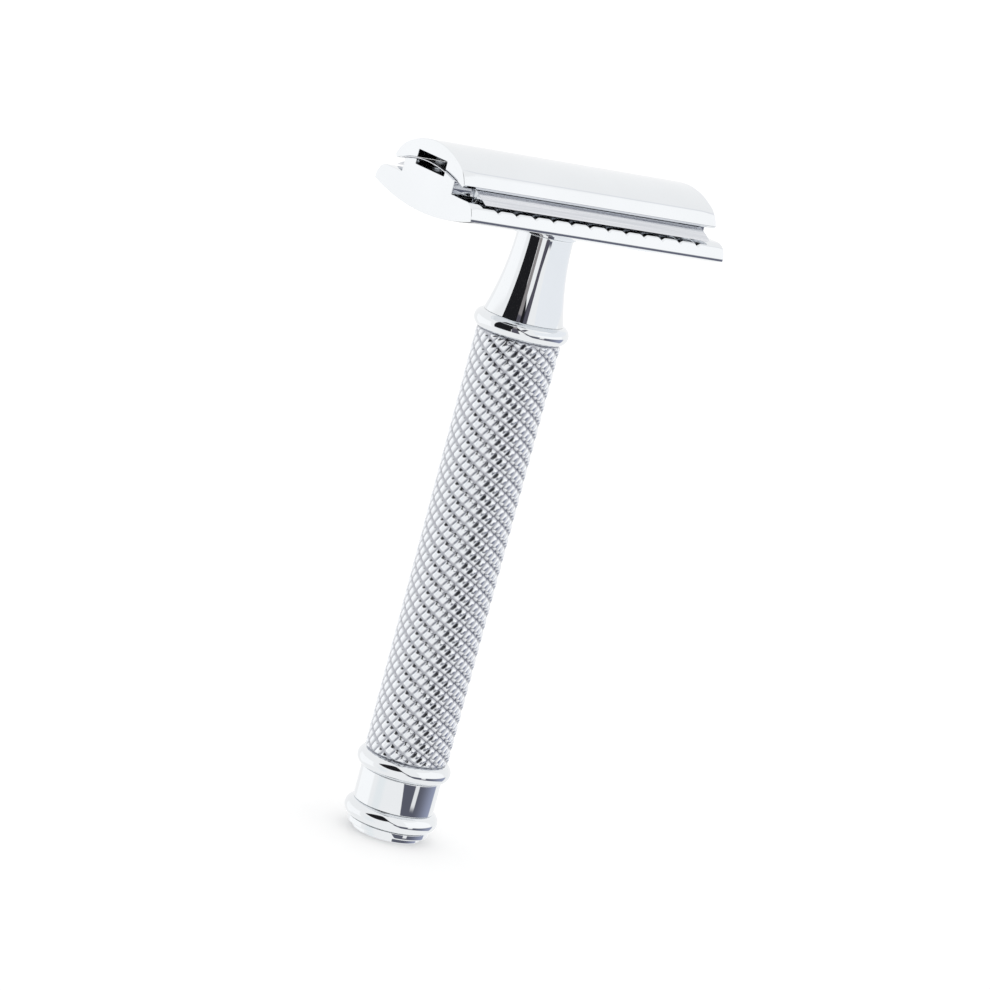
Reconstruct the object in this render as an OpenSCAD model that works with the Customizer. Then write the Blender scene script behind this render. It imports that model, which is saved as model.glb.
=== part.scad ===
// Three-piece safety razor: a domed cap with a threaded stud, a flexed double-edge blade, a
// baseplate with scalloped safety bars, and a handle stacked on an inner tie rod.
// The razor stands on its end cap. +Z runs up the handle and X runs along the head.

/* [Head] */
// Length of the cap and the baseplate along X
head_len = 41.9; // [34:0.1:52]
// Half width of the baseplate, from the middle to the tip of a safety bar
bar_reach = 11.35; // [9.6:0.05:14]
// Radius of the rounded safety bar
bar_r = 1.95; // [1.6:0.05:2.2]
// Height of the safety bar's upright face, between its rounded top and the underside
bar_face = 0.3; // [0.1:0.05:1]
// Radius of the baseplate's boat-shaped underside
keel_r = 41.7; // [30:0.1:60]
// Height of the blade's cutting edges above the top of the safety bars
edge_rise = 0.1; // [0:0.05:0.6]
// Half width of the gutter that runs along the middle of the head
gutter_half = 3.35; // [3.1:0.05:3.5]
// Depth of the gutter in the baseplate below the blade's crest
gutter_drop = 1.1; // [0.8:0.05:1.6]
// Height of the gutter in the cap above the blade's crest
gutter_rise = 0.85; // [0.4:0.05:1.1]
// Half width of the blade seat, from the middle to the lather channel
seat_half = 5.85; // [5.2:0.05:6.5]
// How far the middle of the blade seat stands out into the lather channel
seat_step = 0.5; // [0.2:0.05:1]
// Radius of the round boss under the baseplate, which sits on the neck
boss_r = 4.1; // [3.9:0.05:5]
// Height of the boss
boss_h = 0.25; // [0.15:0.05:0.6]

/* [Scallops] */
// Number of notches along each safety bar
notch_count = 12; // [8:2:14]
// Distance between neighbouring notches
notch_pitch = 3; // [2:0.05:3.1]
// Radius of each rounded lobe between two notches
lobe_r = 3.2; // [2.4:0.05:6]

/* [Cap] */
// Height of the cap's crown above the blade's crest
crown_rise = 2.75; // [2.4:0.05:4]
// Radius of the cap's crown
crown_r = 13; // [11:0.1:16]
// Radius of the cap's two shoulders
shoulder_r = 4.5; // [3.5:0.1:5.5]
// Angle at which the crown turns into a shoulder
shoulder_turn = 28; // [20:0.5:35]
// Half width of the cap from lip to lip
lip_reach = 8.2; // [7.4:0.05:9]
// Half width at which the bevel under each lip starts
bevel_start = 7.8; // [7:0.05:8.4]
// Slope of the bevel under each lip
lip_bevel = 45; // [35:1:60]

/* [Blade] */
// Length of the blade over its end tabs
blade_len = 42.8; // [36:0.1:52]
// Length of each cutting edge
edge_len = 37.3; // [30:0.1:45]
// Width of the flat blade from edge to edge
blade_w = 22; // [20:0.1:23.5]
// Width of the end tabs
tab_w = 13; // [11:0.1:15]
// Thickness of the blade
blade_t = 0.1; // [0.08:0.01:0.2]
// Radius to which the head bends the blade
bend_r = 22; // [18:0.1:28]
// Width of the blade's long middle slot
slot_w = 1.8; // [1:0.1:2.6]
// Length of the blade's long middle slot
slot_len = 35; // [32.5:0.1:37]

/* [Stud and pins] */
// Radius of the threaded stud
stud_r = 2.5; // [2:0.05:3]
// Length of stud thread inside the neck when the head is tight
stud_bite = 8; // [5:0.1:9]
// Radius of the two locating pins
pin_r = 1.45; // [1:0.05:1.6]
// Distance of each locating pin from the stud
pin_x = 14; // [10:0.1:15]
// How far the pins reach below the blade's crest
pin_drop = 4.4; // [3:0.1:5]

/* [Handle] */
// Height of the neck above the collar
neck_h = 11.45; // [9.5:0.05:16]
// Radius of the neck at its top
neck_top_r = 3.8; // [3.7:0.05:5]
// Radius of the concave sweep of the neck
neck_sweep_r = 41; // [38:0.5:80]
// Outer radius of the collar and of the two lower rings
ring_r = 6.45; // [6.2:0.05:8]
// Height of the collar and of the two lower rings
ring_h = 2.5; // [1.6:0.05:3.2]
// Radius of the grip over its knurling
grip_r = 5.75; // [5.5:0.05:6.2]
// Length of the knurled grip
grip_len = 59.2; // [48:0.1:76]
// Radius of the plain band
band_r = 5.55; // [5.3:0.05:6]
// Length of the plain band
band_len = 4.6; // [3:0.1:8]
// Radius of the upper step of the end cap
step_r = 5.6; // [5.2:0.05:6.2]
// Radius of the foot that the razor stands on
foot_r = 4.7; // [4.4:0.05:5.1]
// Height of the foot
foot_h = 0.75; // [0.4:0.05:1.5]
// Height of the upper step of the end cap
step_h = 0.8; // [0.4:0.05:1.5]
// Bore radius of the grip and of the rings
core_r = 4; // [3.3:0.05:4.8]
// Radius of the tie rod
rod_r = 2; // [1.5:0.05:2.4]
// Length of the neck's spigot below the collar's top
neck_spigot = 8.5; // [5:0.1:12]
// Length of the end cap's spigot inside the grip
foot_spigot = 6; // [3:0.1:12]
// Length of tie rod screwed into the neck
rod_bite = 7; // [4:0.1:9]

/* [Clearances] */
// Gap on each face of the blade
blade_gap = 0.05; // [0.02:0.01:0.1]
// Radial gap of the stud in the neck
thread_gap = 0.05; // [0.02:0.01:0.1]
// Radial gap of the stud and the pins in the baseplate
guide_gap = 0.1; // [0.05:0.01:0.2]
// Radial gap of the pieces stacked on the tie rod
stack_gap = 0.02; // [0.01:0.01:0.05]
// Gap between the boss and the top of the neck
seat_gap = 0.05; // [0.02:0.01:0.1]
// Gap round the pins and the stud in the blade
blade_hole_gap = 0.35; // [0.2:0.05:0.6]

/* [Hidden] */
$fn = 96;
over = 1;                                          // how far a cutter runs past what it cuts

// Heights of the handle's stack, from the foot up
step_z = foot_h;
lower_ring_z = foot_h + step_h;
band_z = lower_ring_z + ring_h;
upper_ring_z = band_z + band_len;
grip_z = upper_ring_z + ring_h;
collar_z = grip_z + grip_len;
neck_z = collar_z + ring_h;
neck_top_z = neck_z + neck_h;

// Heights of the head
boss_z = neck_top_z + seat_gap;
keel_z = boss_z + boss_h;
keel_curl = keel_r - sqrt(keel_r * keel_r - bar_reach * bar_reach);
bar_z = keel_z + keel_curl + bar_face;             // centre line of the rounded bar
shelf_z = bar_z + bar_r;
edge_turn = (blade_w / 2) / bend_r * 180 / PI;     // the blade's half width as an angle of its bend
crest_z = shelf_z + edge_rise + bend_r * (1 - cos(edge_turn));
crown_z = crest_z + crown_rise;
bend_z = crest_z - bend_r;                         // centre line of the blade's bend
gutter_floor_z = crest_z - gutter_drop;
gutter_roof_z = crest_z + gutter_rise;
bevel_z = bend_z + sqrt(pow(bend_r + blade_gap, 2) - bevel_start * bevel_start);

// The cap's shoulders touch its crown where the crown has turned by shoulder_turn
shoulder_y = (crown_r - shoulder_r) * sin(shoulder_turn);
shoulder_z = crown_z - crown_r + (crown_r - shoulder_r) * cos(shoulder_turn);

// Safety bars and the seat that carries the blade between them
bar_y = bar_reach - bar_r;
notch_row = (notch_count - 1) * notch_pitch;
seat_run = notch_row + notch_pitch / 2;            // length of the part of the seat that stands out

// Stud and tie rod
stud_foot_z = neck_top_z - stud_bite;
stud_root = (crown_z - gutter_roof_z) / 2;         // length of stud held in the cap
stud_hole_z = stud_foot_z - 0.6;
rod_top_z = neck_z + ring_h - neck_spigot + rod_bite;
rod_hole_z = rod_top_z + 0.3;
rod_foot_z = lower_ring_z + 0.6;
neck_foot_z = neck_z - neck_spigot;
spigot_top_z = grip_z + foot_spigot;

// A cylinder along X
module bar_x(r, len) { rotate([0, 90, 0]) cylinder(r = r, h = len, center = true); }

// A box centred on X and Y, with its bottom at z
module block(x, y, z, h) { translate([-x / 2, -y / 2, z]) cube([x, y, h]); }

// The same shape on the front and on the back of the head
module both_sides() { for (turn = [0, 180]) rotate([0, 0, turn]) children(); }

// The same shape at each locating pin
module at_pins() { for (side = [-1, 1]) translate([side * pin_x, 0, 0]) children(); }

// A handle ring whose outer face is half round
module round_ring(z) {
    edge = ring_h / 2;
    translate([0, 0, z + edge])
        difference() {
            union() {
                rotate_extrude() translate([ring_r - edge, 0]) circle(r = edge);
                translate([0, 0, -edge]) cylinder(r = ring_r - edge, h = ring_h);
            }
            translate([0, 0, -edge - over]) cylinder(r = core_r, h = ring_h + 2 * over);
        }
}

module cap() {
    color("gainsboro") difference() {
        intersection() {
            union() {
                intersection() {
                    translate([0, 0, crown_z - crown_r]) bar_x(crown_r, head_len);
                    block(head_len, 2 * shoulder_y + 2 * shoulder_r * sin(shoulder_turn),
                          bend_z, crown_z);
                }
                for (side = [-1, 1])
                    translate([0, side * shoulder_y, shoulder_z]) bar_x(shoulder_r, head_len);
            }
            block(head_len, 2 * lip_reach, shoulder_z, crown_z);
        }
        translate([0, 0, bend_z]) bar_x(bend_r + blade_gap, head_len + 2 * over);
        for (side = [-1, 1])
            translate([0, side * bevel_start, bevel_z]) rotate([side * lip_bevel, 0, 0])
                block(head_len + 2 * over, 4 * over, -2 * over, 2 * over);
        block(head_len + 2 * over, 2 * gutter_half, shoulder_z, gutter_roof_z - shoulder_z);
        translate([0, 0, shoulder_z]) {
            cylinder(r = stud_r, h = gutter_roof_z + stud_root - shoulder_z);
            at_pins() cylinder(r = pin_r, h = gutter_roof_z + stud_root - shoulder_z);
        }
    }
}

module cap_stud() {
    color("lightsteelblue")
        translate([0, 0, stud_foot_z])
            cylinder(r = stud_r, h = gutter_roof_z + stud_root - stud_foot_z);
}

module cap_pins() {
    pin_foot_z = crest_z - pin_drop;
    color("lightsteelblue")
        at_pins() translate([0, 0, pin_foot_z])
            cylinder(r = pin_r, h = gutter_roof_z + stud_root - pin_foot_z);
}

module blade() {
    edge_reach = bend_r * sin(edge_turn);
    sheet_z = bend_z + bend_r * cos(edge_turn) - 2 * blade_t;
    sheet_h = crest_z + over - sheet_z;
    color("silver") difference() {
        intersection() {
            translate([0, 0, bend_z]) difference() {
                bar_x(bend_r, blade_len);
                bar_x(bend_r - blade_t, blade_len + 2 * over);
            }
            union() {
                block(edge_len, 2 * edge_reach, sheet_z, sheet_h);
                block(blade_len, tab_w, sheet_z, sheet_h);
            }
        }
        block(slot_len, slot_w, sheet_z, sheet_h + over);
        translate([0, 0, sheet_z]) {
            cylinder(r = stud_r + blade_hole_gap, h = sheet_h + over);
            at_pins() cylinder(r = pin_r + blade_hole_gap, h = sheet_h + over);
        }
    }
}

// What is cut off the top of a safety bar: lobes follow its rounding, with channels back to the blade seat
module scallop_cutter() {
    cutter_len = notch_row + notch_pitch;
    channel_run = bar_y - seat_half - seat_step;
    translate([0, -bar_y, shelf_z])
        difference() {
            translate([-cutter_len / 2, -bar_r - over, -bar_r])
                cube([cutter_len, bar_r + over + channel_run, bar_r + over]);
            for (i = [-notch_count / 2 : notch_count / 2])
                translate([i * notch_pitch, 0, -lobe_r]) {
                    sphere(r = lobe_r);
                    rotate([-90, 0, 0]) cylinder(r = lobe_r, h = channel_run + over);
                }
        }
}

module baseplate() {
    seat_r = bend_r - blade_t - blade_gap;
    color("gainsboro") difference() {
        union() {
            intersection() {
                translate([0, 0, keel_z + keel_r]) bar_x(keel_r, head_len, $fn = 360);
                union() {
                    block(head_len, 2 * bar_reach, keel_z - over, bar_z - keel_z + over);
                    block(head_len, 2 * bar_y, keel_z, shelf_z - keel_z);
                    both_sides() translate([0, bar_y, bar_z]) bar_x(bar_r, head_len);
                    intersection() {
                        translate([0, 0, bend_z]) bar_x(seat_r, head_len);
                        union() {
                            block(head_len, 2 * seat_half, keel_z, crest_z);
                            block(seat_run, 2 * (seat_half + seat_step), keel_z, crest_z);
                        }
                    }
                }
            }
            translate([0, 0, boss_z]) cylinder(r = boss_r, h = bar_z - boss_z);
        }
        block(head_len + 2 * over, 2 * gutter_half, gutter_floor_z, crest_z);
        both_sides() scallop_cutter();
        translate([0, 0, boss_z - over]) cylinder(r = stud_r + guide_gap, h = crest_z);
        at_pins() translate([0, 0, crest_z - pin_drop - 0.4])
            cylinder(r = pin_r + guide_gap, h = crest_z);
    }
}

module neck() {
    sweep_x = neck_top_r + neck_sweep_r;
    color("gainsboro") difference() {
        union() {
            rotate_extrude() difference() {
                translate([0, neck_z]) square([ring_r - ring_h / 4, neck_h]);
                translate([sweep_x, neck_top_z]) circle(r = neck_sweep_r, $fn = 360);
            }
            translate([0, 0, neck_foot_z])
                cylinder(r = core_r - stack_gap, h = neck_spigot + over);
        }
        translate([0, 0, stud_hole_z]) cylinder(r = stud_r + thread_gap, h = neck_h + over);
        translate([0, 0, neck_foot_z - over])
            cylinder(r = rod_r, h = rod_hole_z - neck_foot_z + over);
    }
}

module collar_ring() { color("gainsboro") round_ring(collar_z); }

module grip_sleeve() {
    color("silver") translate([0, 0, grip_z]) difference() {
        cylinder(r = grip_r, h = grip_len);
        translate([0, 0, -over]) cylinder(r = core_r, h = grip_len + 2 * over);
    }
}

module upper_ring() { color("gainsboro") round_ring(upper_ring_z); }

module band_sleeve() {
    color("silver") translate([0, 0, band_z]) difference() {
        cylinder(r = band_r, h = band_len);
        translate([0, 0, -over]) cylinder(r = core_r, h = band_len + 2 * over);
    }
}

module lower_ring() { color("gainsboro") round_ring(lower_ring_z); }

module end_cap() {
    color("gainsboro") difference() {
        union() {
            cylinder(r = foot_r, h = foot_h);
            translate([0, 0, step_z]) cylinder(r = step_r, h = step_h);
            translate([0, 0, step_z])
                cylinder(r = core_r - stack_gap, h = spigot_top_z - step_z);
        }
        translate([0, 0, rod_foot_z]) cylinder(r = rod_r, h = spigot_top_z);
    }
}

module tie_rod() {
    color("goldenrod") translate([0, 0, rod_foot_z])
        cylinder(r = rod_r - stack_gap, h = rod_top_z - rod_foot_z);
}

cap();
cap_stud();
cap_pins();
blade();
baseplate();
neck();
collar_ring();
grip_sleeve();
upper_ring();
band_sleeve();
lower_ring();
end_cap();
tie_rod();
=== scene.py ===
import math

import bmesh
import bpy
from mathutils import Matrix, Vector


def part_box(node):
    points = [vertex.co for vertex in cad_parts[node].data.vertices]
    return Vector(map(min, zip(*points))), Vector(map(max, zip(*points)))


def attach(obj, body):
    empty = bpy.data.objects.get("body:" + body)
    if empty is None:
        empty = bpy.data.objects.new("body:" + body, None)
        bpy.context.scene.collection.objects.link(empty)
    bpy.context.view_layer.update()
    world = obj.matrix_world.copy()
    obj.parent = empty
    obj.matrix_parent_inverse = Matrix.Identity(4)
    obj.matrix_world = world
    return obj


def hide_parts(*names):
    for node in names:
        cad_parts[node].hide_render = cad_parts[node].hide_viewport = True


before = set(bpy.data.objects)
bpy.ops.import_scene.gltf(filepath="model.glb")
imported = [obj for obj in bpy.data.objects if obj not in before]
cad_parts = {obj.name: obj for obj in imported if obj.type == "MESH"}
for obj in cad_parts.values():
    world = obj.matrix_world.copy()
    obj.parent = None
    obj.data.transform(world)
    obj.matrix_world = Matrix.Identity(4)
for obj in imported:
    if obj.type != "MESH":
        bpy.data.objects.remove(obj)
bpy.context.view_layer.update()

MM = 0.001


def span(node):
    """A CAD node's lowest and highest corners, in millimetres."""
    low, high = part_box(node)
    return low / MM, high / MM


# ---------------------------------------------------------------- places, from the frame (mm)
foot_high = span("end_cap")[1]
lower_low, lower_high = span("lower_ring")
band_low, band_high = span("band_sleeve")
upper_low, upper_high = span("upper_ring")
grip_low, grip_high = span("grip_sleeve")
collar_low, collar_high = span("collar_ring")
neck_low, neck_high = span("neck")
base_low, base_high = span("baseplate")
blade_high = span("blade")[1]
cap_high = span("cap")[1]
stud_low, stud_high = span("cap_stud")
pins_low, pins_high = span("cap_pins")
rod_low, rod_high = span("tie_rod")

# ---------------------------------------------------------------- sizes that the frame doesn't give (mm)
CORE_R = 4.0            # bore of the stacked handle pieces
SPIGOT_R = 3.98
FOOT_R = 4.7            # flat foot
FOOT_H = 0.75
NECK_TOP_R = 3.8
NECK_SWEEP_R = 41.0
BOSS_R = 4.1
BOSS_H = 0.25
KEEL_R = 41.7           # underside of the baseplate
BAR_R = 1.95            # rounded safety bar
BAR_FACE = 0.3
SEAT_HALF = 5.85        # blade seat
SEAT_STEP = 0.5         # how far the middle of the seat stands out
SEAT_RUN = 34.5         # length of that middle
GUTTER_HALF = 3.35
GUTTER_DROP = 1.1
GUTTER_RISE = 0.85
NOTCH_COUNT = 12
NOTCH_PITCH = 3.0
LOBE_R = 3.2
CROWN_R = 13.0
SHOULDER_R = 4.5
SHOULDER_TURN = math.radians(28)
BEND_R = 22.0
BLADE_T = 0.1
BLADE_GAP = 0.05
BLADE_W = 22.0
EDGE_LEN = 37.3
TAB_W = 13.0
SLOT_W = 1.8
SLOT_LEN = 35.0
BLADE_HOLE_GAP = 0.35
STUD_R = 2.5
PIN_R = 1.45
PIN_X = 14.0
GUIDE_GAP = 0.1
STUD_FIT = 0.05         # gap round the stud in the neck
ROD_R = 1.98
ROD_FIT = 0.02          # gap round the tie rod
BOX_TRIM = 0.00002      # keeps the bars' rounded faces inside the CAD box

SHARP = 0.13            # rounding of a plated corner
END_EDGE = 0.09         # rounding round the ends of the head
BEVEL_START = 7.8       # the 45 degree bevel under each lip
BEVEL_R = 0.12
QUARTER = math.pi / 2

crest_z = blade_high.z
bend_z = crest_z - BEND_R
keel_z = base_low.z + BOSS_H
half_head = cap_high.x


# ---------------------------------------------------------------- mesh tools
def add_object(name, mesh, smooth=True):
    """A new object in the scene that shows this mesh."""
    mesh.polygons.foreach_set("use_smooth", [smooth] * len(mesh.polygons))
    obj = bpy.data.objects.new(name, mesh)
    bpy.context.scene.collection.objects.link(obj)
    return obj


def mesh_object(name, verts, faces, smooth=True):
    """A new object from points in millimetres."""
    mesh = bpy.data.meshes.new(name)
    mesh.from_pydata([Vector(v) * MM for v in verts], [], faces)
    mesh.update()
    return add_object(name, mesh, smooth)


def clean(obj, sharp_angle=math.radians(50)):
    """Welds doubled points, points every face outwards and keeps real edges crisp."""
    work = bmesh.new()
    work.from_mesh(obj.data)
    bmesh.ops.remove_doubles(work, verts=work.verts, dist=0.0004 * MM)
    bmesh.ops.recalc_face_normals(work, faces=work.faces)
    work.to_mesh(obj.data)
    work.free()
    obj.data.set_sharp_from_angle(angle=sharp_angle)
    return obj


def apply_modifiers(obj):
    """Turns the object's modifiers into plain mesh."""
    graph = bpy.context.evaluated_depsgraph_get()
    done = bpy.data.meshes.new_from_object(obj.evaluated_get(graph))
    obj.modifiers.clear()
    obj.data = done


def weigh_normals(obj):
    """Keeps the large flat faces flat beside their rounded edges."""
    mod = obj.modifiers.new("weighted_normals", "WEIGHTED_NORMAL")
    mod.keep_sharp = True
    mod.weight = 80
    apply_modifiers(obj)


def arc(centre, radius, start, stop, steps):
    """Points along an arc, angles in radians."""
    turn = (stop - start) / steps
    return [(centre[0] + radius * math.cos(start + turn * i),
             centre[1] + radius * math.sin(start + turn * i)) for i in range(steps + 1)]


def even(low, high, step):
    """Evenly spread values from low to high, about step apart."""
    count = max(1, round((high - low) / step))
    return [low + (high - low) * i / count for i in range(count + 1)]


def corner(before, point, after, steps=6):
    """A rounded corner between two points, as a list of points."""
    return [((1 - t) ** 2 * before[0] + 2 * t * (1 - t) * point[0] + t * t * after[0],
             (1 - t) ** 2 * before[1] + 2 * t * (1 - t) * point[1] + t * t * after[1])
            for t in (i / steps for i in range(steps + 1))]


def fillet(before, point, after, radius, steps=6):
    """A true arc of this radius in the corner at point, between the directions to its neighbours."""
    here = Vector(point)
    a = (Vector(before) - here).normalized()
    b = (Vector(after) - here).normalized()
    half = a.angle(b) / 2
    centre = here + (a + b).normalized() * (radius / math.sin(half))
    start = here + a * (radius / math.tan(half)) - centre
    sweep = (math.pi - 2 * half) * (1 if b.x * a.y - b.y * a.x > 0 else -1)
    out = []
    for i in range(steps + 1):
        turn = sweep * i / steps
        out.append((centre.x + start.x * math.cos(turn) - start.y * math.sin(turn),
                    centre.y + start.x * math.sin(turn) + start.y * math.cos(turn)))
    return out


def soften(path, radii):
    """Rounds the named corners of a path made of straight runs. radii is {index: radius}."""
    out = []
    count = len(path)
    for index, point in enumerate(path):
        if index not in radii:
            out.append(tuple(point))
            continue
        here = Vector(point)
        before = Vector(path[index - 1])
        after = Vector(path[(index + 1) % count])
        out += corner(here + (before - here).normalized() * radii[index], here,
                      here + (after - here).normalized() * radii[index])
    return out


def lathe(name, outline, segments=192, x=0.0, sharp=50):
    """A closed outline of (radius, z) turned round an upright axis."""
    verts = []
    faces = []
    count = len(outline)
    for i in range(segments):
        turn = 2 * math.pi * i / segments
        verts.extend((x + r * math.cos(turn), r * math.sin(turn), z) for r, z in outline)
    for i in range(segments):
        here = i * count
        there = (i + 1) % segments * count
        for j in range(count):
            k = (j + 1) % count
            if outline[j][0] or outline[k][0]:
                faces.append((here + j, there + j, there + k, here + k))
    obj = clean(mesh_object(name, verts, faces), math.radians(sharp))
    work = bmesh.new()
    work.from_mesh(obj.data)
    bmesh.ops.dissolve_degenerate(work, edges=work.edges, dist=0.0002 * MM)
    work.to_mesh(obj.data)
    work.free()
    return obj


def inset(outline, depth):
    """The outline, which runs anticlockwise, moved inwards by depth."""
    out = []
    count = len(outline)
    for i in range(count):
        here = Vector(outline[i])
        a = (here - Vector(outline[i - 1])).normalized()
        b = (Vector(outline[(i + 1) % count]) - here).normalized()
        normal = Vector((-a.y - b.y, a.x + b.x)).normalized()
        reach = max(0.5, normal.dot(Vector((-a.y, a.x))))
        out.append(tuple(here + normal * (depth / reach)))
    return out


def swept_bar(name, shape, half_length, columns):
    """shape(x) gives an anticlockwise outline of (y, z), swept along X with rounded end edges."""
    steps = 5
    left = [(-half_length + END_EDGE * (1 - math.cos(QUARTER * i / steps)),
             END_EDGE * (1 - math.sin(QUARTER * i / steps))) for i in range(steps)]
    rings = left + [(x, 0.0) for x in columns] + [(-x, d) for x, d in reversed(left)]
    verts = []
    for x, depth in rings:
        outline = shape(x)
        verts.extend((x, y, z) for y, z in (inset(outline, depth) if depth else outline))
    count = len(outline)
    faces = []
    for i in range(len(rings) - 1):
        for j in range(count):
            k = (j + 1) % count
            faces.append((i * count + j, i * count + k, (i + 1) * count + k, (i + 1) * count + j))
    faces.append(tuple(range(count)))
    faces.append(tuple(reversed(range((len(rings) - 1) * count, len(rings) * count))))
    return mesh_object(name, verts, faces)


def tube(radius, low, high, x=0.0, segments=64):
    """A closed cylinder, used only to cut with or to join on."""
    verts = []
    for z in (low, high):
        verts += [(x + radius * math.cos(2 * math.pi * i / segments),
                   radius * math.sin(2 * math.pi * i / segments), z) for i in range(segments)]
    faces = [(i, (i + 1) % segments, segments + (i + 1) % segments, segments + i) for i in range(segments)]
    faces.append(tuple(reversed(range(segments))))
    faces.append(tuple(range(segments, 2 * segments)))
    return mesh_object("cutter", verts, faces, smooth=False)


def combine(obj, tool, operation):
    """Exact boolean of obj with tool, which is then removed."""
    mod = obj.modifiers.new("cut", "BOOLEAN")
    mod.object = tool
    mod.operation = operation
    mod.solver = "EXACT"
    apply_modifiers(obj)
    bpy.data.objects.remove(tool)


# ---------------------------------------------------------------- materials
def material(name):
    """A new node material: the material, its nodes, its links and its shader."""
    mat = bpy.data.materials.new(name)
    mat.use_nodes = True
    nodes = mat.node_tree.nodes
    return mat, nodes, mat.node_tree.links, nodes["Principled BSDF"]


def noise(nodes, links, scale, detail=3.0, stretch=(1, 1, 1)):
    """Noise in the object's own space; scale is features per metre."""
    coords = nodes.new("ShaderNodeTexCoord")
    fit = nodes.new("ShaderNodeMapping")
    fit.inputs["Scale"].default_value = stretch
    tex = nodes.new("ShaderNodeTexNoise")
    tex.inputs["Scale"].default_value = scale
    tex.inputs["Detail"].default_value = detail
    links.new(coords.outputs["Object"], fit.inputs["Vector"])
    links.new(fit.outputs["Vector"], tex.inputs["Vector"])
    return tex.outputs["Fac"]


def spread(nodes, links, value, low, high, from_low=0.3, from_high=0.7):
    """Maps from_low..from_high on to low..high."""
    node = nodes.new("ShaderNodeMapRange")
    node.inputs["From Min"].default_value = from_low
    node.inputs["From Max"].default_value = from_high
    node.inputs["To Min"].default_value = low
    node.inputs["To Max"].default_value = high
    links.new(value, node.inputs["Value"])
    return node.outputs["Result"]


def blend_colours(nodes, links, factor, first, second):
    """Mixes two colours by a factor socket."""
    node = nodes.new("ShaderNodeMixRGB")
    node.inputs["Color1"].default_value = (*first, 1)
    node.inputs["Color2"].default_value = (*second, 1)
    links.new(factor, node.inputs["Fac"])
    return node.outputs["Color"]


def add_bump(nodes, links, shader, height, strength, distance):
    """Bump from a height socket; distance in metres."""
    bump = nodes.new("ShaderNodeBump")
    bump.inputs["Strength"].default_value = strength
    bump.inputs["Distance"].default_value = distance
    links.new(height, bump.inputs["Height"])
    links.new(bump.outputs["Normal"], shader.inputs["Normal"])


def chrome(name, tint, rough_low, rough_high, ripple):
    """Chrome plate: a cool mirror with faint wipe marks and a trace of plating ripple."""
    mat, nodes, links, shader = material(name)
    shader.inputs["Metallic"].default_value = 1.0
    cloud = spread(nodes, links, noise(nodes, links, 90), 0, 1)
    dull = [c * 0.97 for c in tint]
    links.new(blend_colours(nodes, links, cloud, dull, tint), shader.inputs["Base Color"])
    wipe = noise(nodes, links, 400, 6, (1, 1, 0.12))
    links.new(spread(nodes, links, wipe, rough_low, rough_high), shader.inputs["Roughness"])
    add_bump(nodes, links, shader, noise(nodes, links, 700, 2), ripple, 0.00002)
    return mat


def lined_metal(name, dark, light, scale, stretch, rough_low, rough_high):
    """Metal with fine lines left by rolling, grinding or turning."""
    mat, nodes, links, shader = material(name)
    shader.inputs["Metallic"].default_value = 1.0
    lines = noise(nodes, links, scale, 4, stretch)
    links.new(blend_colours(nodes, links, spread(nodes, links, lines, 0, 1), dark, light),
              shader.inputs["Base Color"])
    links.new(spread(nodes, links, lines, rough_low, rough_high), shader.inputs["Roughness"])
    add_bump(nodes, links, shader, lines, 0.15, 0.00001)
    return mat


def chrome_with_groove_shade(name, tint, groove_shade, groove_r, crest_r):
    """Chrome on the knurling, with painted shade: duller and darker down in the grooves than on the crests.
    """
    mat, nodes, links, shader = material(name)
    shader.inputs["Metallic"].default_value = 1.0
    coords = nodes.new("ShaderNodeTexCoord")
    flat = nodes.new("ShaderNodeVectorMath")
    flat.operation = "MULTIPLY"
    flat.inputs[1].default_value = (1, 1, 0)
    links.new(coords.outputs["Object"], flat.inputs[0])
    reach = nodes.new("ShaderNodeVectorMath")
    reach.operation = "LENGTH"
    links.new(flat.outputs["Vector"], reach.inputs[0])
    # Painted shade: the base colour goes from the crest colour to the darker groove colour towards the bottom
    # of the grooves
    height = spread(nodes, links, reach.outputs["Value"], 0, 1, groove_r * MM, crest_r * MM)
    links.new(blend_colours(nodes, links, height, groove_shade, tint), shader.inputs["Base Color"])
    wear = noise(nodes, links, 900, 5)
    links.new(spread(nodes, links, wear, 0.14, 0.26), shader.inputs["Roughness"])
    add_bump(nodes, links, shader, wear, 0.3, 0.00002)
    return mat


CHROME_TINT = (0.83, 0.85, 0.87)
head_chrome = chrome("head_chrome", CHROME_TINT, 0.03, 0.07, 0.1)
handle_chrome = chrome("handle_chrome", CHROME_TINT, 0.02, 0.05, 0.06)
DARKEST_SHADE_DEPTH = 0.24       # depth in the knurling where the painted shade is darkest
UNSHADED_DEPTH = 0.05     # depth above which there is no painted shade, as bright as on the crests
# Painted shade in the knurling's grooves: (0.42, 0.43, 0.47) is the shade colour painted down in them
knurl_painted_shade_chrome = chrome_with_groove_shade("knurl_painted_shade_chrome", (0.84, 0.86, 0.89), (0.42, 0.43, 0.47),
                              grip_high.x - DARKEST_SHADE_DEPTH, grip_high.x - UNSHADED_DEPTH)
blade_steel = lined_metal("blade_steel", (0.62, 0.64, 0.68), (0.8, 0.81, 0.84), 2500, (0.02, 1, 1), 0.16, 0.3)
stud_steel = lined_metal("stud_steel", (0.6, 0.61, 0.63), (0.78, 0.79, 0.8), 4000, (0.05, 0.05, 1), 0.14, 0.3)
rod_brass = lined_metal("rod_brass", (0.62, 0.45, 0.18), (0.82, 0.64, 0.3), 3000, (0.05, 0.05, 1), 0.16, 0.32)


def settle(obj, body, mat, node):
    """Gives a piece its material and its body, and hides the CAD node that it stands for."""
    obj.data.materials.clear()
    obj.data.materials.append(mat)
    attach(obj, body)
    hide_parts(node)


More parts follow.
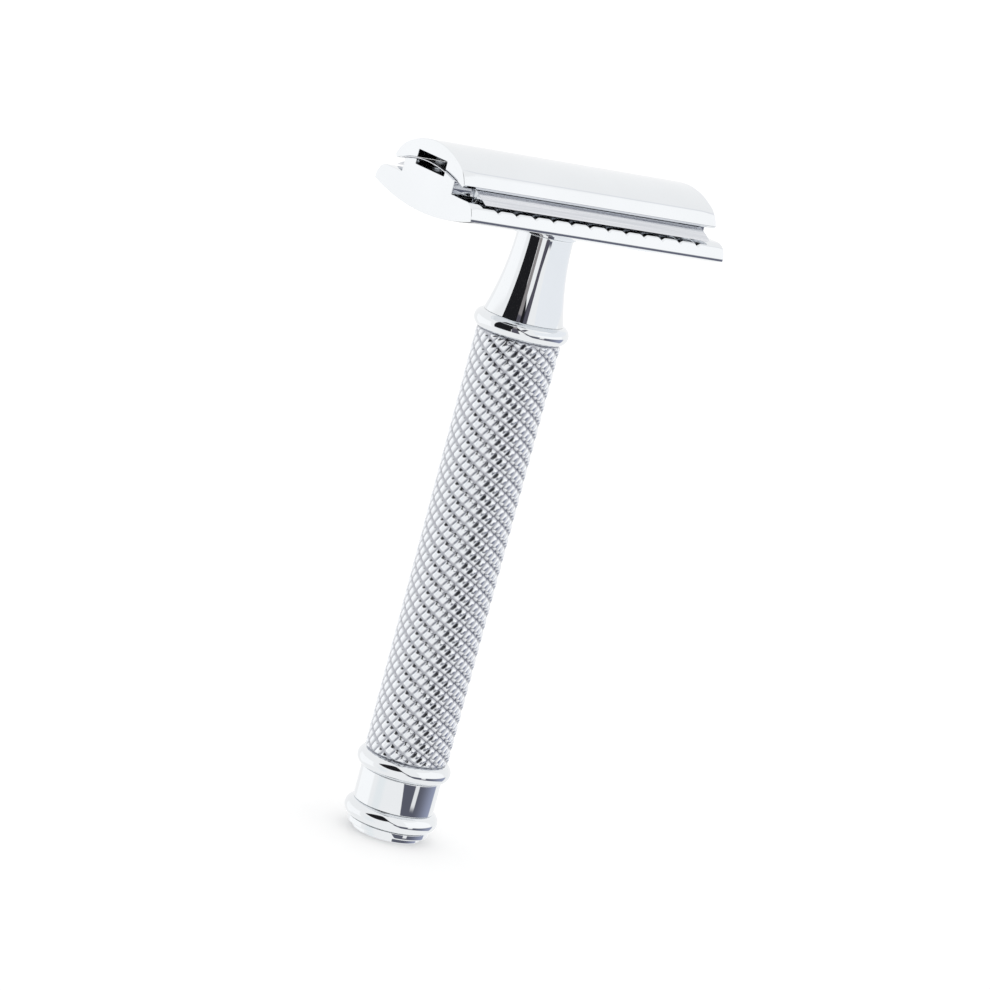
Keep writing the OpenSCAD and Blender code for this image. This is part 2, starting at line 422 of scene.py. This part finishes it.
# ---------------------------------------------------------------- camera
# The razor leans across the picture because the camera is rolled, not because it is tilted
AIM_RIGHT = 2.45 * MM
AIM_HEIGHT = 48.68 * MM
azimuth = math.radians(37.83)
elevation = math.radians(11.17)
roll = math.radians(15.06)
distance = 0.6
FOCAL_LENGTH = 163.94
SENSOR_WIDTH = 36.0

back = Vector((-math.sin(azimuth) * math.cos(elevation),
               -math.cos(azimuth) * math.cos(elevation), math.sin(elevation)))
right = Vector((math.cos(azimuth), -math.sin(azimuth), 0))
up = back.cross(right)
cam_x = right * math.cos(roll) + up * math.sin(roll)
cam_y = up * math.cos(roll) - right * math.sin(roll)
cam_data = bpy.data.cameras.new("camera")
cam_data.lens = FOCAL_LENGTH
cam_data.sensor_width = SENSOR_WIDTH
cam_data.clip_end = 10
camera = bpy.data.objects.new("camera", cam_data)
bpy.context.scene.collection.objects.link(camera)
aim = right * AIM_RIGHT + Vector((0, 0, AIM_HEIGHT))
turn = Matrix((cam_x, cam_y, back)).transposed().to_4x4()
camera.matrix_world = Matrix.Translation(aim + back * distance) @ turn
bpy.context.scene.camera = camera


# ---------------------------------------------------------------- plain pieces of the handle
def ring_piece(name, low, high, node):
    """A handle ring with a half-round outer face."""
    half = (high.z - low.z) / 2
    middle = (low.z + high.z) / 2
    outer = arc((high.x - half, middle), half, -QUARTER, QUARTER, 40)
    outline = [(CORE_R, low.z)] + outer + [(CORE_R, high.z)]
    settle(lathe(name, outline), "handle", handle_chrome, node)


ring_piece("collar", collar_low, collar_high, "collar_ring")
ring_piece("grip_end_ring", upper_low, upper_high, "upper_ring")
ring_piece("foot_ring", lower_low, lower_high, "lower_ring")

BAND_EDGE = 0.12        # rounding of the band's edges
band = [(CORE_R, band_low.z), (band_high.x, band_low.z), (band_high.x, band_high.z), (CORE_R, band_high.z)]
settle(lathe("plain_band", soften(band, {1: BAND_EDGE, 2: BAND_EDGE})),
       "handle", handle_chrome, "band_sleeve")

rod_bore = ROD_R + ROD_FIT
foot = [(FOOT_R, 0), (FOOT_R, FOOT_H), (foot_high.x, FOOT_H), (foot_high.x, lower_low.z),
        (SPIGOT_R, lower_low.z), (SPIGOT_R, foot_high.z), (rod_bore, foot_high.z), (rod_bore, rod_low.z)]
foot_outline = soften(foot, {0: 0.14, 1: 0.06, 2: 0.2, 3: 0.08, 5: 0.3, 6: 0.15})
settle(lathe("stepped_foot", [(0.0, 0.0)] + foot_outline + [(0.0, rod_low.z)]),
       "handle", handle_chrome, "end_cap")

NECK_EDGE = 0.16        # rounding of the neck's top edge
SWEEP_STOP = 0.004      # angle left at the top of the sweep for that rounding
BORE_EDGE = 0.12        # chamfer at the mouth of the stud's bore
ROD_ROOM = 0.3          # how much deeper each blind hole is than what goes in it
STUD_ROOM = 0.6
sweep_x = NECK_TOP_R + NECK_SWEEP_R
neck_turn = math.asin((neck_high.z - collar_high.z) / NECK_SWEEP_R)
sweep = arc((sweep_x, neck_high.z), NECK_SWEEP_R, math.pi + neck_turn, math.pi + SWEEP_STOP, 48)
stud_bore = STUD_R + STUD_FIT
rod_end = rod_high.z + ROD_ROOM
stud_end = stud_low.z - STUD_ROOM
neck_outline = soften([(rod_bore, neck_low.z), (SPIGOT_R, neck_low.z), (SPIGOT_R, collar_high.z)], {1: 0.3})
neck_outline += sweep + corner(sweep[-1], (NECK_TOP_R, neck_high.z), (NECK_TOP_R - NECK_EDGE, neck_high.z))
neck_outline += [(stud_bore + BORE_EDGE, neck_high.z), (stud_bore, neck_high.z - BORE_EDGE),
                 (stud_bore, stud_end), (0.0, stud_end), (0.0, rod_end), (rod_bore, rod_end)]
settle(lathe("flared_neck", neck_outline, 256), "handle", handle_chrome, "neck")


# ---------------------------------------------------------------- knurled grip
GENTLE_STARTS = 10      # grooves that fall gently to the right
STEEP_STARTS = 28       # grooves that rise steeply to the right
REPEATS = 31            # cells along the grip
KNURL_DEPTH = 0.25
GENTLE_HALF = 0.5       # half width of each gently falling groove
STEEP_HALF = 0.36       # half width of each steeply rising groove
RELIEF = 0.3            # height of the turned-down ends of the grip
RELIEF_CUT = 1.15       # how deep they are cut, as a share of the knurling's depth
GROOVE_CURVE = 1.4      # how broad a groove's rounded bottom is

grip_r = grip_high.x
grip_len = grip_high.z - grip_low.z
starts = GENTLE_STARTS + STEEP_STARTS


def groove_side(distance, half):
    """Height of a groove's rounded side, 0 at its bottom and 1 on the crest."""
    t = min(1.0, distance / half)
    return math.sin(t * QUARTER) ** GROOVE_CURVE


def knurled_sleeve():
    """The knurled grip: cells between two families of helical grooves, on a grid in line with both."""
    girth = 2 * math.pi * grip_r
    rise = REPEATS / grip_len
    gentle_gap = 1 / math.hypot(GENTLE_STARTS / girth, rise)
    steep_gap = 1 / math.hypot(STEEP_STARTS / girth, rise)

    def cuts(half, gap):
        """Where a cell is divided between one groove and the next, as shares of their gap."""
        near = [0, 0.3 * half / gap, 0.65 * half / gap, half / gap]
        return near + [0.5] + [1 - c for c in reversed(near)]

    gentle_cuts = cuts(GENTLE_HALF, gentle_gap)
    steep_cuts = cuts(STEEP_HALF, steep_gap)
    work = bmesh.new()
    known = {}

    def point(u, v):
        """The vertex at u, v, counted in grooves of the two families."""
        turns = math.floor((u - v + 1e-6) / starts)
        u -= turns * GENTLE_STARTS
        v += turns * STEEP_STARTS
        key = (round(u * 1000), round(v * 1000))
        if key not in known:
            theta = 2 * math.pi * (u - v) / starts
            z = grip_low.z + (STEEP_STARTS * u + GENTLE_STARTS * v) / (starts * rise)
            height = (groove_side(abs(u - round(u)) * gentle_gap, GENTLE_HALF)
                      * groove_side(abs(v - round(v)) * steep_gap, STEEP_HALF))
            radius = grip_r - KNURL_DEPTH * (1 - height)
            place = (radius * math.cos(theta) * MM, radius * math.sin(theta) * MM, z * MM)
            known[key] = work.verts.new(place)
        return known[key]

    for column in range(starts):
        for row in range(-STEEP_STARTS - 2, REPEATS + 1):
            u0, v0 = row + column, row
            cell_z = (STEEP_STARTS * u0 + GENTLE_STARTS * v0) / starts
            if cell_z > REPEATS + 0.01 or cell_z < -1.01:
                continue
            for i in range(len(gentle_cuts) - 1):
                for j in range(len(steep_cuts) - 1):
                    a = point(u0 + gentle_cuts[i], v0 + steep_cuts[j])
                    b = point(u0 + gentle_cuts[i + 1], v0 + steep_cuts[j])
                    c = point(u0 + gentle_cuts[i + 1], v0 + steep_cuts[j + 1])
                    d = point(u0 + gentle_cuts[i], v0 + steep_cuts[j + 1])
                    if len({a, b, c, d}) == 4:
                        work.faces.new((a, b, c, d))

    def slice_at(height, sign, clear):
        """Cuts the mesh level at a height, and removes what is past it if clear."""
        everything = work.verts[:] + work.edges[:] + work.faces[:]
        bmesh.ops.bisect_plane(work, geom=everything, plane_co=(0, 0, height * MM),
                               plane_no=(0, 0, sign), clear_outer=clear, dist=1e-7)

    slice_at(grip_low.z, -1, True)
    slice_at(grip_high.z, 1, True)
    slice_at(grip_low.z + RELIEF, 1, False)
    slice_at(grip_high.z - RELIEF, 1, False)
    for v in work.verts:
        to_end = min(v.co.z / MM - grip_low.z, grip_high.z - v.co.z / MM)
        radius = math.hypot(v.co.x, v.co.y) / MM
        limit = grip_r - KNURL_DEPTH * RELIEF_CUT * (1 - to_end / RELIEF)
        if to_end < RELIEF and radius > limit:
            v.co.x *= limit / radius
            v.co.y *= limit / radius
    rims = [e for e in work.edges if e.is_boundary]
    grown = bmesh.ops.extrude_edge_only(work, edges=rims)["geom"]
    for v in (g for g in grown if isinstance(g, bmesh.types.BMVert)):
        shrink = CORE_R * MM / math.hypot(v.co.x, v.co.y)
        v.co.x *= shrink
        v.co.y *= shrink
    rims = [e for e in work.edges if e.is_boundary]
    bmesh.ops.bridge_loops(work, edges=rims)
    mesh = bpy.data.meshes.new("knurled_grip")
    work.to_mesh(mesh)
    work.free()
    return clean(add_object("knurled_grip", mesh), math.radians(60))


settle(knurled_sleeve(), "handle", knurl_painted_shade_chrome, "grip_sleeve")


# ---------------------------------------------------------------- threaded pieces
THREAD_PITCH = 0.8
THREAD_DEPTH = 0.44
THREAD_FLANK = 2.6      # steepness of the thread's sides
THREAD_STEP = 0.08      # spacing of the rings of points along a rod
ROD_TIP = 0.3           # chamfer on each end of a rod, where its thread starts
STUD_SHOWS = 2.2        # how far the stud's thread goes on above the neck
ROD_THREAD = 7.0        # length of the thread on each end of the tie rod


def threaded_rod(name, radius, low, high, threads, segments=48):
    """An upright rod with V threads over the given (low, high) stretches."""
    heights = even(low, high, THREAD_STEP)
    rings = []
    for z in heights:
        ring = []
        for i in range(segments):
            theta = 2 * math.pi * i / segments
            cut = 0.0
            for start, stop in threads:
                if start <= z <= stop:
                    phase = (z / THREAD_PITCH - i / segments) % 1.0
                    run_out = min(1.0, (z - start) / THREAD_PITCH, (stop - z) / THREAD_PITCH)
                    cut = THREAD_DEPTH * max(0.0, 1 - THREAD_FLANK * abs(phase - 0.5)) * run_out
            tip = min(z - low, high - z)
            cut = max(cut, ROD_TIP - tip)
            ring.append(((radius - cut) * math.cos(theta), (radius - cut) * math.sin(theta), z))
        rings.append(ring)
    verts = [p for ring in rings for p in ring]
    faces = [(i * segments + j, i * segments + (j + 1) % segments,
              (i + 1) * segments + (j + 1) % segments, (i + 1) * segments + j)
             for i in range(len(rings) - 1) for j in range(segments)]
    faces.append(tuple(reversed(range(segments))))
    faces.append(tuple(range((len(rings) - 1) * segments, len(rings) * segments)))
    return clean(mesh_object(name, verts, faces), math.radians(40))


stud_thread = [(stud_low.z + ROD_TIP, neck_high.z + STUD_SHOWS)]
settle(threaded_rod("threaded_stud", STUD_R, stud_low.z, stud_high.z, stud_thread),
       "cap_body", stud_steel, "cap_stud")
rod_threads = [(rod_low.z + ROD_TIP, rod_low.z + ROD_THREAD), (rod_high.z - ROD_THREAD, rod_high.z - ROD_TIP)]
settle(threaded_rod("brass_rod", ROD_R, rod_low.z, rod_high.z, rod_threads, 32),
       "handle", rod_brass, "tie_rod")

pin_profile = soften([(0, pins_low.z), (PIN_R, pins_low.z), (PIN_R, pins_high.z), (0, pins_high.z)], {1: 0.4})
pins = [lathe("locating_pins", pin_profile, 64, side * PIN_X, 35) for side in (-1, 1)]
with bpy.context.temp_override(active_object=pins[0], selected_editable_objects=pins):
    bpy.ops.object.join()
settle(pins[0], "cap_body", stud_steel, "cap_pins")

# ---------------------------------------------------------------- cap
shoulder_y = (CROWN_R - SHOULDER_R) * math.sin(SHOULDER_TURN)
shoulder_z = cap_high.z - CROWN_R + (CROWN_R - SHOULDER_R) * math.cos(SHOULDER_TURN)
roof_z = crest_z + GUTTER_RISE


def hump(y, radius):
    """Height at y of a cylinder of this radius round the blade's bend."""
    return bend_z + math.sqrt(radius ** 2 - y * y)


def mirrored(half):
    """A right half outline, closed with its mirror image."""
    return half + [(-y, z) for y, z in reversed(half) if y > 1e-6]


def cap_outline(x):
    """The cap's section, anticlockwise from its gutter; it is the same at every x."""
    under = BEND_R + BLADE_GAP
    rim = hump(GUTTER_HALF, under)
    half = fillet((0, roof_z), (GUTTER_HALF, roof_z), (GUTTER_HALF, rim), SHARP)
    half += fillet((GUTTER_HALF, roof_z), (GUTTER_HALF, rim),
                   (GUTTER_HALF + SHARP, hump(GUTTER_HALF + SHARP, under)), SHARP)
    half += [(y, hump(y, under)) for y in even(GUTTER_HALF + 2 * SHARP, BEVEL_START - 2 * SHARP, 0.25)]
    tip_y = cap_high.y
    low_z = hump(BEVEL_START, under)
    tip_z = low_z + tip_y - BEVEL_START
    tip_turn = math.acos((tip_y - shoulder_y) / SHOULDER_R)
    face = arc((shoulder_y, shoulder_z), SHOULDER_R, tip_turn, QUARTER - SHOULDER_TURN, 24)
    half += fillet((BEVEL_START - SHARP, hump(BEVEL_START - SHARP, under)), (BEVEL_START, low_z),
                   (tip_y, tip_z), BEVEL_R)
    half += fillet((BEVEL_START, low_z), (tip_y, tip_z), face[1], BEVEL_R)
    half += [point for point in face if point[1] > tip_z + 2 * BEVEL_R]
    half += arc((0, cap_high.z - CROWN_R), CROWN_R, QUARTER - SHOULDER_TURN, QUARTER, 24)[1:]
    return mirrored(half)


cap = swept_bar("domed_cap", cap_outline, half_head, even(-half_head + END_EDGE, half_head - END_EDGE, 2.0))
weigh_normals(clean(cap))
settle(cap, "cap_body", head_chrome, "cap")

# ---------------------------------------------------------------- baseplate
bar_reach = base_high.y - BOX_TRIM
bar_y = bar_reach - BAR_R
bar_z = keel_z + KEEL_R - math.sqrt(KEEL_R ** 2 - bar_reach ** 2) + BAR_FACE
shelf_z = bar_z + BAR_R
floor_z = crest_z - GUTTER_DROP
row_end = NOTCH_COUNT / 2 * NOTCH_PITCH
STEP_BLEND = 0.1        # length over which the seat steps out
PIN_ROOM = 0.4          # how much deeper each pin's hole is than the pin
NEAR = 0.01             # slack when picking out points of the channels


def keel(y):
    """Height of the underside at y."""
    return keel_z + KEEL_R - math.sqrt(KEEL_R ** 2 - y * y)


def base_outline(x):
    """The baseplate's section at x, anticlockwise from the middle of its keel."""
    seat_r = BEND_R - BLADE_T - BLADE_GAP
    out = min(1.0, max(0.0, (SEAT_RUN / 2 - abs(x)) / STEP_BLEND))
    wall = SEAT_HALF + SEAT_STEP * out * out * (3 - 2 * out)
    half = [(y, keel(y)) for y in even(0, bar_reach - 2 * SHARP, 0.5)]
    half += fillet((bar_reach - SHARP, keel(bar_reach - SHARP)), (bar_reach, keel(bar_reach)),
                   (bar_reach, bar_z), SHARP)
    half += arc((bar_y, bar_z), BAR_R, 0, QUARTER, 40)
    half += [(bar_y + (wall + 2 * SHARP - bar_y) * i / 12, shelf_z) for i in range(1, 13)]
    top = hump(wall, seat_r)
    half += fillet((bar_y, shelf_z), (wall, shelf_z), (wall, top), SHARP)
    half += fillet((wall, shelf_z), (wall, top), (wall - SHARP, hump(wall - SHARP, seat_r)), SHARP)
    inner = GUTTER_HALF + 2 * SHARP
    outer = wall - 2 * SHARP
    across_seat = [outer + (inner - outer) * i / 10 for i in range(11)]
    half += [(y, hump(y, seat_r)) for y in across_seat]
    rib = hump(GUTTER_HALF, seat_r)
    half += fillet((GUTTER_HALF + SHARP, hump(GUTTER_HALF + SHARP, seat_r)), (GUTTER_HALF, rib),
                   (GUTTER_HALF, floor_z), SHARP)
    half += fillet((GUTTER_HALF, rib), (GUTTER_HALF, floor_z), (0, floor_z), SHARP)
    return mirrored(half)


def lobe_height(x, y):
    """Height that the lobes and the channels behind them leave at a point."""
    off = x - round(x / NOTCH_PITCH) * NOTCH_PITCH
    outward = max(0.0, abs(y) - bar_y)
    return shelf_z - LOBE_R + math.sqrt(max(0.0, LOBE_R ** 2 - off * off - outward * outward))


step_x = SEAT_RUN / 2
columns = even(-half_head + END_EDGE, -row_end, 0.75)
columns += even(-row_end, row_end, 0.125)[1:-1]
columns += even(row_end, half_head - END_EDGE, 0.75)
columns += [side * (step_x - STEP_BLEND * i / 5) for side in (-1, 1) for i in range(6)]
columns = sorted(set(round(x, 4) for x in columns))
base = swept_bar("baseplate_body", base_outline, half_head, columns)
channel_wall = SEAT_HALF + SEAT_STEP
for vertex in base.data.vertices:
    x, y, z = vertex.co / MM
    if abs(x) < row_end and abs(y) > channel_wall - NEAR and bar_z < z < shelf_z + SHARP + NEAR:
        lobe = lobe_height(x, y)
        vertex.co.z = (lobe + z - shelf_z if z > shelf_z else min(z, lobe)) * MM
clean(base, math.radians(32))
combine(base, tube(BOSS_R, base_low.z, bar_z, segments=128), "UNION")
combine(base, tube(STUD_R + GUIDE_GAP, base_low.z - 1, base_high.z + 1), "DIFFERENCE")
for side in (-1, 1):
    combine(base, tube(PIN_R + GUIDE_GAP, pins_low.z - PIN_ROOM, base_high.z + 1, side * PIN_X), "DIFFERENCE")
clean(base, math.radians(32))
base.data.polygons.foreach_set("use_smooth", [True] * len(base.data.polygons))
weigh_normals(base)
settle(base, "base", head_chrome, "baseplate")

# ---------------------------------------------------------------- blade
GRIND_WIDTH = 1.25      # ground facet
HONE_WIDTH = 0.4        # final facet at the cutting edge
HONE_SHARE = 0.55       # thickness where the final facet starts, as a share of the blade's
EDGE_SHARE = 0.08       # thickness at the cutting edge, as a share of the blade's
CORNER_CUT = 0.5        # chamfer on the corners of the tabs


def blade_flat():
    """The blade's flat blank as (x, across) points and faces, with its holes."""
    tab_x = blade_high.x
    tab_turn = BEND_R * math.asin(TAB_W / 2 / BEND_R)
    edge_x = EDGE_LEN / 2
    quarter = [(edge_x, BLADE_W / 2), (edge_x, tab_turn + 0.5), (edge_x + 0.5, tab_turn),
               (tab_x - CORNER_CUT, tab_turn), (tab_x, tab_turn - CORNER_CUT)]
    right_side = [(x, -y) for x, y in quarter] + list(reversed(quarter))
    outer = right_side + [(-x, -y) for x, y in right_side]
    slot_edge = SLOT_W / 2
    half_slot = SLOT_LEN / 2
    stud_hole = STUD_R + BLADE_HOLE_GAP
    pin_hole = PIN_R + BLADE_HOLE_GAP
    start = math.asin(slot_edge / stud_hole)
    right_half = [(stud_hole * math.cos(t), stud_hole * math.sin(t))
                  for t in (QUARTER + (start - QUARTER) * i / 12 for i in range(13))]
    near = math.asin(slot_edge / pin_hole)
    right_half += [(PIN_X + pin_hole * math.cos(t), pin_hole * math.sin(t))
                   for t in (math.pi - near + (2 * near - math.pi) * i / 14 for i in range(15))]
    right_half += [(half_slot, slot_edge)]
    top = [(-x, y) for x, y in reversed(right_half[1:])] + right_half
    hole = top + [(x, -y) for x, y in reversed(top)]
    curve = bpy.data.curves.new("blank", "CURVE")
    curve.dimensions = "2D"
    curve.fill_mode = "BOTH"
    for loop in (outer, hole):
        spline = curve.splines.new("POLY")
        spline.points.add(len(loop) - 1)
        for target, (x, y) in zip(spline.points, loop):
            target.co = (x * MM, y * MM, 0, 1)
        spline.use_cyclic_u = True
    holder = bpy.data.objects.new("blank", curve)
    bpy.context.scene.collection.objects.link(holder)
    graph = bpy.context.evaluated_depsgraph_get()
    mesh = bpy.data.meshes.new_from_object(holder.evaluated_get(graph))
    bpy.data.objects.remove(holder)
    return mesh


def thickness_at(across):
    """The blade's thickness at a distance from its middle line, with both ground facets."""
    from_edge = BLADE_W / 2 - abs(across)
    if from_edge > GRIND_WIDTH:
        return BLADE_T
    if from_edge > HONE_WIDTH:
        ground = (from_edge - HONE_WIDTH) / (GRIND_WIDTH - HONE_WIDTH)
        return BLADE_T * (HONE_SHARE + (1 - HONE_SHARE) * ground)
    return BLADE_T * (EDGE_SHARE + (HONE_SHARE - EDGE_SHARE) * from_edge / HONE_WIDTH)


def bent_blade():
    """Cuts the blank into strips, gives it thickness and bends it over the seat."""
    work = bmesh.new()
    work.from_mesh(blade_flat())
    bmesh.ops.remove_doubles(work, verts=work.verts, dist=0.0005 * MM)
    strips = even(-BLADE_W / 2, BLADE_W / 2, 0.5)[1:-1]
    strips += [side * (BLADE_W / 2 - width) for side in (-1, 1) for width in (GRIND_WIDTH, HONE_WIDTH)]
    for across in strips:
        everything = work.verts[:] + work.edges[:] + work.faces[:]
        bmesh.ops.bisect_plane(work, geom=everything, plane_co=(0, across * MM, 0),
                               plane_no=(0, 1, 0), dist=1e-8)
    points = [(v.co.x / MM, v.co.y / MM) for v in work.verts]
    for i, v in enumerate(work.verts):
        v.index = i
    top = [[v.index for v in f.verts] for f in work.faces]
    rim = [(e.verts[0].index, e.verts[1].index) for e in work.edges if e.is_boundary]
    work.free()
    middle = BEND_R - BLADE_T / 2
    verts = []
    for sign in (1, -1):
        for x, across in points:
            radius = middle + sign * thickness_at(across) / 2
            verts.append((x, radius * math.sin(across / BEND_R), bend_z + radius * math.cos(across / BEND_R)))
    count = len(points)
    faces = top + [[i + count for i in reversed(f)] for f in top]
    faces += [(a, b, b + count, a + count) for a, b in rim]
    obj = mesh_object("bent_blade", verts, faces)
    return clean(obj, math.radians(25))


settle(bent_blade(), "blade_body", blade_steel, "blade")


# ---------------------------------------------------------------- studio
def stage_plane(name, size, z, mat):
    """A flat floor of this size, in millimetres."""
    half = size / 2
    obj = mesh_object(name, [(-half, -half, z), (half, -half, z), (half, half, z), (-half, half, z)],
                      [(0, 1, 2, 3)], smooth=False)
    obj.data.materials.append(mat)
    return obj


floor_mat, _, _, shader = material("floor_white")
shader.inputs["Base Color"].default_value = (0.97, 0.97, 0.97, 1)
shader.inputs["Roughness"].default_value = 0.9
shader.inputs["Emission Color"].default_value = (1, 1, 1, 1)
shader.inputs["Emission Strength"].default_value = 0.12
floor = stage_plane("floor", 6000, -0.02, floor_mat)
floor.visible_glossy = False


FLAG_BLACK = (0.014, 0.014, 0.016)


def card_material(name, colour):
    """A plain glow of one colour, for a card."""
    mat, nodes, links, shader = material(name)
    nodes.remove(shader)
    glow = nodes.new("ShaderNodeEmission")
    glow.inputs["Color"].default_value = (*colour, 1)
    links.new(glow.outputs["Emission"], nodes["Material Output"].inputs["Surface"])
    return mat


card_black = card_material("card_black", FLAG_BLACK)
card_dark = card_material("card_dark", (0.1, 0.095, 0.12))
card_grey = card_material("card_grey", (0.3, 0.28, 0.28))
card_white = card_material("card_white", (0.95, 0.97, 1.0))


def toward(beta):
    """Unit direction from the razor: 0 is the camera's side, positive is to the viewer's right."""
    front = Vector((-math.sin(azimuth), -math.cos(azimuth), 0))
    return front * math.cos(math.radians(beta)) + right * math.sin(math.radians(beta))


def card(name, low_edge, high_edge, radius, low, high, mat):
    """A card bent round the neck, under the head, which only reflections see.
    The edges are (left, right) directions at its bottom and at its top."""
    steps = 16
    verts = []
    for i in range(steps + 1):
        t = i / steps
        for (left, right_edge), z in ((low_edge, low), (high_edge, high)):
            way = toward(left + (right_edge - left) * t) * radius
            verts.append((way.x, way.y, z))
    faces = [(2 * i, 2 * i + 2, 2 * i + 3, 2 * i + 1) for i in range(steps)]
    obj = mesh_object(name, verts, faces)
    obj.data.materials.append(mat)
    obj.visible_camera = False
    obj.visible_diffuse = False
    obj.visible_shadow = False
    obj.visible_transmission = False


CARD_R = 16.0
card_low = collar_low.z - 2.6
card_high = neck_high.z - 0.6
card("card_main", (-52, -16), (-52, -16), CARD_R, card_low, card_high, card_black)
card("card_inner", (-15, -6), (-15, -6), CARD_R, collar_high.z + 5, card_high, card_grey)
card("card_low", (-15, 2), (-15, -6), CARD_R, card_low, collar_high.z + 5, card_dark)
card("card_edge", (0, 9), (11, 20), CARD_R, collar_high.z + 3, card_high, card_dark)
card("card_right", (30, 135), (30, 135), CARD_R, collar_high.z + 2, card_high, card_white)

world = bpy.data.worlds.new("studio")
bpy.context.scene.world = world
world.use_nodes = True
nodes = world.node_tree.nodes
links = world.node_tree.links
nodes.clear()


def value(kind, *items):
    """A Math node of the world shader; numbers and sockets both work."""
    node = nodes.new("ShaderNodeMath")
    node.operation = kind
    for socket, item in zip(node.inputs, items):
        if isinstance(item, (int, float)):
            socket.default_value = item
        else:
            links.new(item, socket)
    return node.outputs["Value"]


def ramp(item, low, high):
    """0 below low, 1 above high, smooth between."""
    node = nodes.new("ShaderNodeMapRange")
    node.interpolation_type = "SMOOTHSTEP"
    node.inputs["From Min"].default_value = low
    node.inputs["From Max"].default_value = high
    links.new(item, node.inputs["Value"])
    return node.outputs["Result"]


def window(item, low, high, soft):
    """1 between low and high, 0 outside."""
    return value("MULTIPLY", ramp(item, low - soft, low + soft),
                 value("SUBTRACT", 1.0, ramp(item, high - soft, high + soft)))


coords = nodes.new("ShaderNodeTexCoord")
parts = nodes.new("ShaderNodeSeparateXYZ")
links.new(coords.outputs["Generated"], parts.inputs["Vector"])
forward = toward(0)
sideways = toward(90)


def along(way):
    """How far the ray's direction goes along a level direction."""
    return value("ADD", value("MULTIPLY", parts.outputs["X"], way.x),
                 value("MULTIPLY", parts.outputs["Y"], way.y))


beta = value("DEGREES", value("ARCTAN2", along(sideways), along(forward)))
height = value("DEGREES", value("ARCSINE", parts.outputs["Z"]))
lean = value("ADD", beta, value("MULTIPLY", value("ADD", height, 11.0), 1.1))

studio_light = nodes.new("ShaderNodeValue")
studio_light.outputs[0].default_value = 1.0
shade = studio_light.outputs[0]


def tint(under, colour, area):
    """Lays a colour over the studio where area is 1."""
    node = nodes.new("ShaderNodeMixRGB")
    links.new(area, node.inputs["Fac"])
    links.new(under, node.inputs["Color1"])
    node.inputs["Color2"].default_value = (*colour, 1)
    return node.outputs["Color"]


BRIGHT = (1.12, 1.12, 1.12)
# A colour, then (left, right, softness) round the razor and (low, high, softness) in height, in degrees
PALE_ZONES = [
    (BRIGHT, (45, 121, 2), (-2, 52, 2)),
    (BRIGHT, (-135, -75, 3), (-30, 12, 3)),
    ((0.86, 0.87, 0.9), (121, 126, 1), (40, 60, 4)),
    ((0.93, 0.96, 0.97), (-60, -36, 8), (-40, -4, 2)),
]
for colour, round_razor, in_height in PALE_ZONES:
    shade = tint(shade, colour, value("MULTIPLY", window(beta, *round_razor), window(height, *in_height)))

# An overhead flag on the left, in the smooth rings
FLAG_BETA = -29.0       # direction of the flag's middle
FLAG_HALF = 34.0        # half its width
flag_curve = value("POWER", value("DIVIDE", value("SUBTRACT", beta, FLAG_BETA), FLAG_HALF), 2.0)
flag_low = value("ADD", value("MULTIPLY", flag_curve, 14.0), 8.0)
flag_high = value("SUBTRACT", 62.0, value("MULTIPLY", flag_curve, 40.0))
flag_area = value("MULTIPLY", ramp(value("SUBTRACT", height, flag_low), -1.0, 1.0),
                  ramp(value("SUBTRACT", flag_high, height), -1.0, 1.0))
shade = tint(shade, FLAG_BLACK, flag_area)
# The slanting dark edge that runs down from it
tail_line = value("ADD", value("MULTIPLY", value("SUBTRACT", beta, 3.0), -1.35), 20.0)
tail = value("MULTIPLY", window(value("SUBTRACT", height, tail_line), -5, 4, 1.0), window(beta, 1, 26, 1.0))
shade = tint(shade, (0.04, 0.04, 0.06), tail)
# The low blue-grey zone on the right, with a white gap
low_right = value("MULTIPLY", window(lean, 17, 400, 1.0), window(height, -27, -5, 1.5))
low_right = value("MULTIPLY", low_right, value("SUBTRACT", 1.0, ramp(beta, 127, 131)))
gap = value("MULTIPLY", window(beta, 51, 63, 1.5), ramp(height, -19, -16))
zone = value("MULTIPLY", low_right, value("SUBTRACT", 1.0, value("MULTIPLY", gap, 0.9)))
fade = nodes.new("ShaderNodeMixRGB")
fade.inputs["Color1"].default_value = (0.115, 0.12, 0.155, 1)
fade.inputs["Color2"].default_value = (0.34, 0.37, 0.5, 1)
links.new(ramp(beta, 62, 129), fade.inputs["Fac"])
mix = nodes.new("ShaderNodeMixRGB")
links.new(zone, mix.inputs["Fac"])
links.new(shade, mix.inputs["Color1"])
links.new(fade.outputs["Color"], mix.inputs["Color2"])

# Reflections see these zones; everything else is lit by plain white
seen = nodes.new("ShaderNodeLightPath")
pick = nodes.new("ShaderNodeMixRGB")
pick.inputs["Color1"].default_value = (1, 1, 1, 1)
links.new(seen.outputs["Is Glossy Ray"], pick.inputs["Fac"])
links.new(mix.outputs["Color"], pick.inputs["Color2"])
glow = nodes.new("ShaderNodeBackground")
links.new(pick.outputs["Color"], glow.inputs["Color"])
out = nodes.new("ShaderNodeOutputWorld")
links.new(glow.outputs["Background"], out.inputs["Surface"])

bpy.context.scene.view_settings.view_transform = "Standard"
